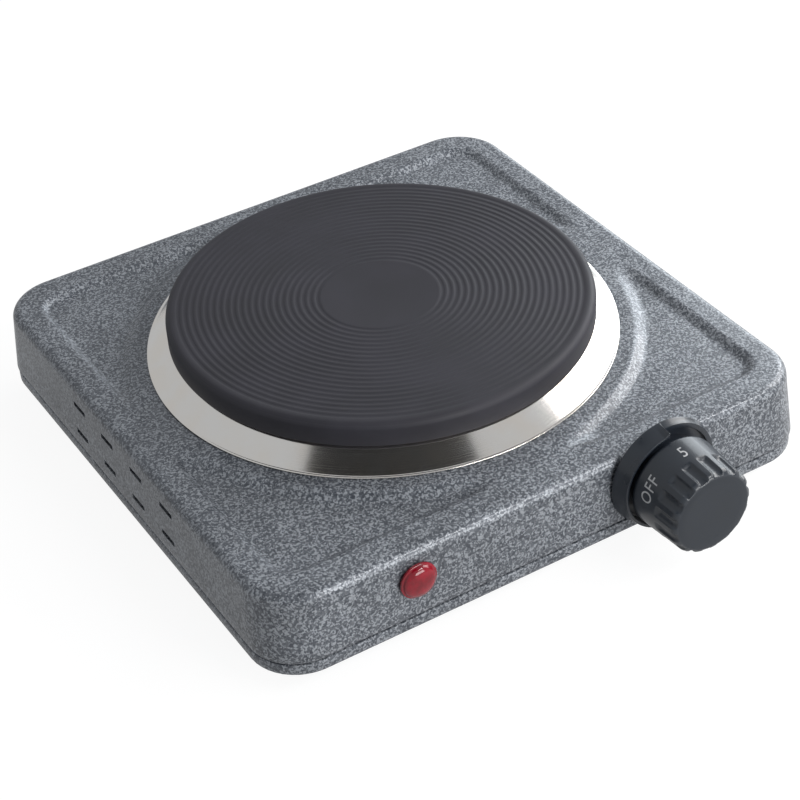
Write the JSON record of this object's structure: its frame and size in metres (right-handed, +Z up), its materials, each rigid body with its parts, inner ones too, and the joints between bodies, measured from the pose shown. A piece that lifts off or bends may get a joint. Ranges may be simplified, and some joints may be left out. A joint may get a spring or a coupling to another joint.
{
  "type": "hot plate burner",
  "caption": "Square enamelled single electric burner with a round grooved cast-iron plate, polished trim ring, front thermostat knob and red lamp.",
  "frame": {"origin": "on the table under the middle of the whole object's plan, knob and inlet bush included", "axes": "+Z up, -Y towards the knob and lamp at the front, +X to the right seen from the front"},
  "size_m": [0.259, 0.2986, 0.0673],
  "materials": {
    "hammertone": "grey hammertone enamel, pale veins on a dark ground",
    "cast_iron": "dark heat-resistant coating over turned grooves",
    "stainless": "polished stainless steel",
    "zinc_steel": "zinc-plated pressed or turned steel",
    "black_gloss": "moulded heat-resistant plastic, glossy sides and a satin cap",
    "red_lens": "clear red moulded lens",
    "magnesia": "pressed insulating powder",
    "ceramic": "unglazed steatite",
    "resistance_wire": "oxidised wound heating conductor",
    "brass": "turned or punched brass",
    "rubber": "black moulded rubber",
    "white_plastic": "natural moulded nylon",
    "glass": "clear bulb glass",
    "brown_sleeve": "silicone sleeving",
    "blue_sleeve": "silicone sleeving",
    "green_sleeve": "silicone sleeving",
    "black_sleeve": "silicone sleeving"
  },
  "bodies": {
    "burner": {"housing_shell": "hammertone", "base_pan": "hammertone", "hot_plate": "cast_iron", "trim_ring": "stainless", "element_insulation": "magnesia", "heating_coil": "resistance_wire", "plate_cover": "zinc_steel", "element_terminal": "ceramic", "element_pin_outer": "zinc_steel", "element_pin_inner": "zinc_steel", "plate_stud": "zinc_steel", "clamp_bar": "zinc_steel", "heat_shield": "zinc_steel", "stud_washer": "zinc_steel", "stud_nut": "zinc_steel", "knob_bezel": "black_gloss", "thermostat_bush": "brass", "thermostat_nut": "zinc_steel", "thermostat_frame": "zinc_steel", "thermostat_stack": "ceramic", "contact_arm": "brass", "bimetal_blade": "zinc_steel", "stack_screw": "zinc_steel", "lamp_lens": "red_lens", "lamp_holder": "white_plastic", "neon_bulb": "glass", "lamp_clip": "zinc_steel", "cord_bush": "rubber", "mains_terminal": "white_plastic", "mains_terminal_screw": "zinc_steel", "earth_lug": "brass", "earth_screw": "zinc_steel", "corner_bracket_front_left": "zinc_steel", "corner_bracket_front_right": "zinc_steel", "corner_bracket_rear_left": "zinc_steel", "corner_bracket_rear_right": "zinc_steel", "foot_front_left": "rubber", "foot_front_right": "rubber", "foot_rear_left": "rubber", "foot_rear_right": "rubber", "foot_screw_front_left": "zinc_steel", "foot_screw_front_right": "zinc_steel", "foot_screw_rear_left": "zinc_steel", "foot_screw_rear_right": "zinc_steel", "live_lead": "brown_sleeve", "switched_lead": "black_sleeve", "neutral_lead": "blue_sleeve", "earth_lead": "green_sleeve", "lamp_lead_switched": "black_sleeve", "lamp_lead_neutral": "blue_sleeve"},
    "control": {"knob": "black_gloss", "thermostat_shaft": "brass"}
  },
  "joints": [
    {"name": "knob_turn", "type": "hinge", "parent": "burner", "child": "control", "pos_m": [0.05, -0.1149, 0.0343], "axis": [0, 1, 0], "range_deg": [-300, 0]}
  ]
}
